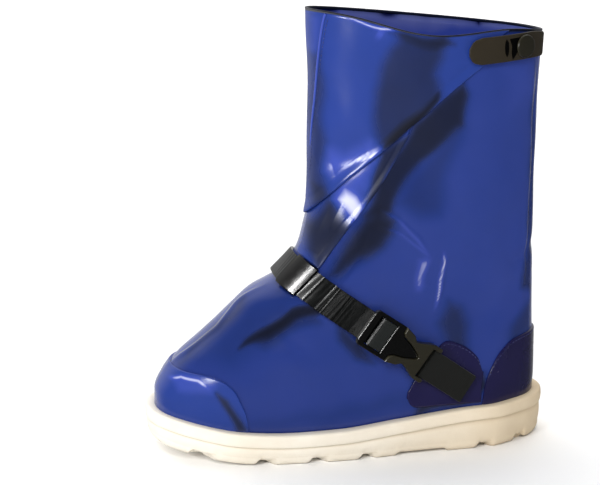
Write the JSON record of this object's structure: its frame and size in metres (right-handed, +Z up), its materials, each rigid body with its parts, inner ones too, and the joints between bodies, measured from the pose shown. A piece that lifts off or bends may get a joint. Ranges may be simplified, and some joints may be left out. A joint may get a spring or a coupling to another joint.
{
  "type": "overshoe",
  "caption": "Left protective overshoe: hollow calf-high cloth shaft with a folded side gusset, closing tab, instep strap with a side-release buckle and a thick treaded sole.",
  "frame": {"origin": "on the floor under the middle of the whole overshoe", "axes": "+Z up to the rim, -X towards the toe, -Y towards the outer side of the left foot"},
  "size_m": [0.336, 0.1222, 0.356],
  "materials": {
    "sole": "matte cream foamed rubber",
    "coated_cloth": "glossy blue coated cloth",
    "dark_coated_cloth": "satin dark blue coated cloth",
    "strap": "satin black ribbed strap",
    "strap_keeper": "glossy black moulded",
    "buckle": "satin black moulded",
    "buckle_socket": "satin dark olive moulded",
    "webbing": "woven black webbing",
    "tab": "satin dark brown coated tab",
    "snap": "satin dark brown cap"
  },
  "bodies": {
    "root": {"outsole": "sole", "upper": "coated_cloth", "toe_cap": "coated_cloth", "heel_counter": "dark_coated_cloth", "strap_patch": "dark_coated_cloth", "gusset_outer_fold": "coated_cloth", "gusset_inner_fold": "coated_cloth", "front_seam_welt": "coated_cloth", "instep_strap": "strap", "strap_keeper": "strap_keeper", "buckle_tongue": "buckle", "buckle_socket": "buckle_socket", "strap_anchor": "webbing", "top_tab": "tab", "snap_cap": "snap"}
  },
  "joints": []
}
